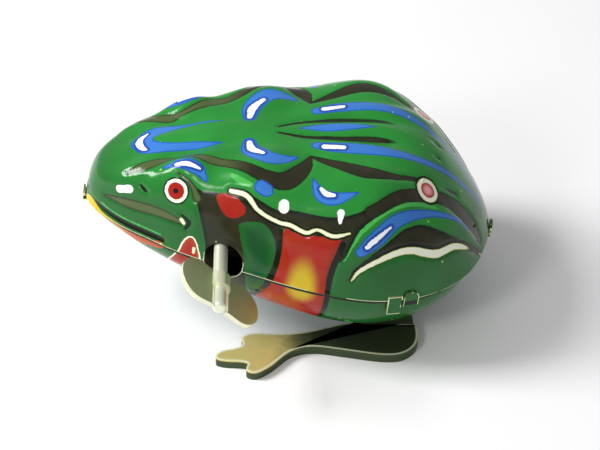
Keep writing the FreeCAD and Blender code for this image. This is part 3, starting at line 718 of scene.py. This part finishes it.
def lay_inks(mesh):
    """Store how far each point is from every ink of the print."""
    p = to_body(place_of_points(mesh))
    skin = p[outer_points(mesh, False)]
    flank = p[:, 1] > FLANK_FROM

    def patches(outlines):
        gap = np.minimum.reduce([patch_gap(p, outline) for outline in outlines])
        return np.where(flank, gap, NO_INK)

    spot = spot_gap(p, skin, SPOT, (0, 1))
    gaps = {
        "blue": stroke_gap(p, skin, BLUE_ABOVE, BLUE_SIDE),
        "white": stroke_gap(p, skin, WHITE_ABOVE, WHITE_SIDE),
        "olive": stroke_gap(p, skin, OLIVE_ABOVE, OLIVE_SIDE),
        "ridge_highlight": stroke_gap(p, skin, RIDGE_HIGHLIGHT_ABOVE, RIDGE_HIGHLIGHT_SIDE),
        "black": np.minimum(stroke_gap(p, skin, (), BLACK_SIDE), spot - SPOT_RADII["black"]),
        "cream": np.minimum(stroke_gap(p, skin, (), CREAM_SIDE), spot - SPOT_RADII["cream"]),
        "pink": spot - SPOT_RADII["pink"],
        "eye": spot_gap(p, skin, EYE, (0, 2)),
        "red": patches(RED),
        "throat": patches([THROAT]),
        "dark": patches(DARK),
        "arm": patches([ARM]),
        "lip": patch_gap(p, LIP),
        "rise": p[:, 2],
        "along": p[:, 0],
    }
    gaps["throat_line"] = np.abs(gaps["throat"])
    across = (p[:, 0] - GLOW_CENTRE[0]) * 1.25
    up = (p[:, 2] - GLOW_CENTRE[1]) * np.where(p[:, 2] > 0.0, 0.55, 0.95)
    gaps["glow"] = np.hypot(across, up)
    for name, values in gaps.items():
        store(mesh, name, values)
    return p, gaps


def print_shell(node, name, base_low, base_high, seam_line):
    """One printed half of the body, with its lines pressed into the sheet."""
    inks = bpy.context.scene.frog_print
    piece = copy_of(node, name)
    refine(piece, inks.detail)
    p, gaps = lay_inks(piece.data)
    cut = cut_edge_gap(piece.data, CUT_TURN)
    store(piece.data, "cut", np.where(p[:, 2] > 2.2, NO_INK, cut))
    clear = np.clip((cut - 0.4) / 0.8, 0.0, 1.0) * outer_points(piece.data, True)
    even_out(piece, clear)
    lines = np.minimum(gaps["olive"], gaps["black"])
    groove = np.exp(-(np.maximum(lines + 0.2, 0.0) / 0.55) ** 2)
    step = 0.5 * np.exp(-(np.maximum(gaps["dark"], 0.0) / 0.6) ** 2)
    press(piece, np.maximum(groove, step) * clear, -inks.press_depth)
    if seam_line:
        store(piece.data, "seam", np.full(len(p), NO_INK))
        rim = outer_points(piece.data, False) * (np.abs(p[:, 0]) < 37.0)
        press(piece, np.exp(-((p[:, 2] - 0.2) / 0.4) ** 2) * rim, inks.bead)
    else:
        # Painted shadow: a black line on the belly just under the rim of the back, where the gap between the
        # shells is in shade.
        line = np.abs(p[:, 2] + 0.55) - 0.15
        store(piece.data, "seam", np.where(outer_points(piece.data, False), line, NO_INK))
    smooth(piece, CUT_TURN)
    piece.data.materials.append(printed_finish(name + "_print", base_low, base_high))
    piece.data.materials.append(tin_finish(name + "_inside", INSIDE_TIN, 0.36))
    inside = ~outer_faces(piece.data)
    piece.data.polygons.foreach_set("material_index", inside.astype(np.int32))
    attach(piece, "body")
    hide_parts(node)
    return piece


class FROG_OT_back(bpy.types.Operator):
    """Make the printed back of the frog"""
    bl_idname = "frog.back"
    bl_label = "Printed back"

    def execute(self, context):
        inks = context.scene.frog_print
        side, top = tuple(inks.side_green), tuple(inks.top_green)
        piece = print_shell("upper_shell", "printed_back", side, top, True)
        return {"FINISHED"}


class FROG_OT_belly(bpy.types.Operator):
    """Make the printed belly of the frog"""
    bl_idname = "frog.belly"
    bl_label = "Printed belly"

    def execute(self, context):
        inks = context.scene.frog_print
        side = tuple(inks.side_green)
        piece = print_shell("belly_shell", "printed_belly", side, side, False)
        return {"FINISHED"}


def rounded_copy(node, name, body, width):
    """A CAD node's shape with its cut edges rolled over."""
    piece = copy_of(node, name)
    make_active(piece)
    bpy.ops.object.mode_set(mode="EDIT")
    bpy.ops.mesh.select_all(action="SELECT")
    bpy.ops.mesh.dissolve_limited(angle_limit=math.radians(0.3))
    bpy.ops.mesh.select_all(action="DESELECT")
    bpy.ops.object.mode_set(mode="OBJECT")
    bevel = piece.modifiers.new("rolled edge", "BEVEL")
    bevel.width = width
    bevel.segments = 3
    bevel.limit_method = "ANGLE"
    bevel.angle_limit = math.radians(40.0)
    bevel.harden_normals = False
    bpy.ops.object.modifier_apply(modifier=bevel.name)
    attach(piece, body)
    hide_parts(node)
    return piece


def rim_the_flats(piece, thickness, is_flat, is_edge):
    """Inset each flat face, then give its border and the rolled edges the pale rim finish, a painted
    highlight.
    """
    make_active(piece)
    mesh = piece.data
    mesh.vertices.foreach_set("select", np.zeros(len(mesh.vertices), bool))
    mesh.edges.foreach_set("select", np.zeros(len(mesh.edges), bool))
    for face in mesh.polygons:
        face.select = is_flat(face)
    bpy.context.tool_settings.mesh_select_mode = (False, False, True)
    bpy.ops.object.mode_set(mode="EDIT")
    bpy.ops.mesh.inset(thickness=thickness, use_boundary=True)
    bpy.ops.object.mode_set(mode="OBJECT")
    for face in piece.data.polygons:
        face.material_index = int(not face.select and is_edge(face))


class FROG_OT_key(bpy.types.Operator):
    """Make the butterfly key"""
    bl_idname = "frog.key"
    bl_label = "Winding key"

    def execute(self, context):
        metal = context.scene.frog_metal
        key = rounded_copy("winding_key", "butterfly_key", "winding", metal.edge)
        across = max(key.data.polygons, key=lambda face: face.area).normal.copy()
        # Faces not parallel to the sheet, the rolled edges and the hub, get the pale rim colour, a painted
        # highlight.
        for face in key.data.polygons:
            face.material_index = int(abs(face.normal.dot(across)) < 0.99)
        smooth_flat_sheet(key, SHEET_TURN)
        sheet = tin_finish("key_tin", tuple(metal.key), 0.50, (1.0, 0.6, 1.0), 700.0, 0.3, 0.85)
        rim = tin_finish("key_rim_highlight", tuple(metal.rim), 0.32, EVEN, 700.0, 0.2, 0.6)
        key.data.materials.append(sheet)
        key.data.materials.append(rim)
        return {"FINISHED"}


class FROG_OT_feet(bpy.types.Operator):
    """Make both webbed feet"""
    bl_idname = "frog.feet"
    bl_label = "Feet"

    def execute(self, context):
        metal = context.scene.frog_metal
        tin = foot_finish("foot_tin")
        # Painted highlight: the pale rim colour for the border and rolled edges of each foot.
        rim = tin_finish("foot_rim_highlight", tuple(metal.rim), 0.30, EVEN, 700.0, 0.2, 0.35)

        def is_level(face):
            return face.normal.z > UPWARDS and face.area > SOLE_AREA

        for side in ("left", "right"):
            foot = rounded_copy(side + "_leg", side + "_foot", "legs", metal.edge)
            top = max(face.center.z for face in foot.data.polygons if is_level(face))
            low, high = top - 0.3 * MM, top + 0.05 * MM
            rim_the_flats(foot, metal.foot_highlight_border, is_level,
                          lambda face: face.normal.z > 0.2 and low < face.center.z < high)
            smooth_flat_sheet(foot, SHEET_TURN)
            foot.data.materials.append(tin)
            foot.data.materials.append(rim)
        return {"FINISHED"}


class FROG_OT_clockwork(bpy.types.Operator):
    """Finish the clockwork between the shells"""
    bl_idname = "frog.clockwork"
    bl_label = "Clockwork finishes"

    def execute(self, context):
        metal = context.scene.frog_metal
        finishes = {
            "frame_steel": tin_finish("frame_steel", tuple(metal.steel), 0.34, (0.1, 1.0, 1.0), 1200.0),
            "bright_steel": tin_finish(
                "bright_steel", tuple(metal.bright), 0.36, (1.0, 12.0, 1.0), 500.0, 0.15, 0.6),
            "spring_steel": tin_finish("spring_steel", tuple(metal.spring), 0.28),
            "brass": tin_finish("brass_sheet", tuple(metal.brass), 0.27, (0.2, 1.0, 1.0), 1200.0),
        }
        slots = {s["node"]: s["material_slot"] for s in frame["record"]["subparts"]}
        for name, node in frame["nodes"].items():
            if slots.get(name) in finishes:
                node.data.materials.clear()
                node.data.materials.append(finishes[slots[name]])
        return {"FINISHED"}


class FROG_OT_stage(bpy.types.Operator):
    """Set the floor, lights and camera"""
    bl_idname = "frog.stage"
    bl_label = "Studio"

    def execute(self, context):
        stage = context.scene.frog_stage
        deselect()
        bpy.ops.mesh.primitive_plane_add(size=6.0, location=(0.0, 0.0, 0.0))
        floor = context.active_object
        floor.name = "floor"
        paper = Graph("paper_floor")
        cloud = paper.span(paper.noise(60.0, 4.0), 0.3, 0.7, 0.0, 0.04)
        tone = paper.mix(cloud, tuple(stage.floor), (0.8, 0.8, 0.8))
        paper.link(tone, paper.shader.inputs["Base Color"])
        paper.shader.inputs["Roughness"].default_value = 0.8
        floor.data.materials.append(paper.material)

        world = bpy.data.worlds.new("room")
        world.use_nodes = True
        world.node_tree.nodes["Background"].inputs[0].default_value = (1.0, 1.0, 1.0, 1.0)
        world.node_tree.nodes["Background"].inputs[1].default_value = stage.world
        context.scene.world = world
        context.scene.view_settings.view_transform = "Standard"

        aim = Vector((0.0, MIDDLE_Y * MM, LAMP_AIM))
        panels = (
            ("upper_left", (-0.46, 0.02, 0.44), (0.20, 0.27), stage.key_power),
            ("front_left", (-0.36, -0.50, 0.46), (0.16, 0.16), stage.key_power * 0.30),
        )
        for name, place, size, power in panels:
            data = bpy.data.lights.new(name, "AREA")
            data.shape = "RECTANGLE"
            data.size, data.size_y = size
            data.energy = power
            lamp = bpy.data.objects.new(name, data)
            lamp.location = place
            lamp.rotation_euler = (Vector(place) - aim).to_track_quat("Z", "Y").to_euler()
            context.scene.collection.objects.link(lamp)

        up = stage.elevation
        forward = Vector((0.0, math.cos(up), -math.sin(up)))
        rise = Vector((0.0, math.sin(up), math.cos(up)))
        target = Vector((VIEW_CENTRE[0], MIDDLE_Y * MM, VIEW_CENTRE[1])) - rise * VIEW_DROP
        data = bpy.data.cameras.new("camera")
        data.lens = stage.lens
        data.sensor_width = SENSOR
        data.clip_start = 0.05
        camera = bpy.data.objects.new("camera", data)
        camera.location = target - forward * stage.distance
        camera.rotation_euler = (-forward).to_track_quat("Z", "Y").to_euler()
        context.scene.collection.objects.link(camera)
        context.scene.camera = camera
        return {"FINISHED"}


class FROG_PT_panel(bpy.types.Panel):
    """Everything the toy is made of"""
    bl_idname = "FROG_PT_panel"
    bl_label = "Tin frog"
    bl_space_type = "VIEW_3D"
    bl_region_type = "UI"
    bl_category = "Tin frog"

    def draw(self, context):
        for step in STEPS:
            self.layout.operator(step.bl_idname)


STEPS = (FROG_OT_back, FROG_OT_belly, FROG_OT_key, FROG_OT_feet, FROG_OT_clockwork, FROG_OT_stage)
GROUPS = ((FrogPrint, "frog_print"), (FrogMetal, "frog_metal"), (FrogStage, "frog_stage"))


def register():
    for group, name in GROUPS:
        bpy.utils.register_class(group)
        setattr(bpy.types.Scene, name, PointerProperty(type=group))
    for item in STEPS + (FROG_PT_panel,):
        bpy.utils.register_class(item)


def unregister():
    for item in reversed(STEPS + (FROG_PT_panel,)):
        bpy.utils.unregister_class(item)
    for group, name in reversed(GROUPS):
        delattr(bpy.types.Scene, name)
        bpy.utils.unregister_class(group)


def main():
    register()
    bpy.ops.frog.back()
    bpy.ops.frog.belly()
    bpy.ops.frog.key()
    bpy.ops.frog.feet()
    bpy.ops.frog.clockwork()
    bpy.ops.frog.stage()


if __name__ == "__main__":
    main()
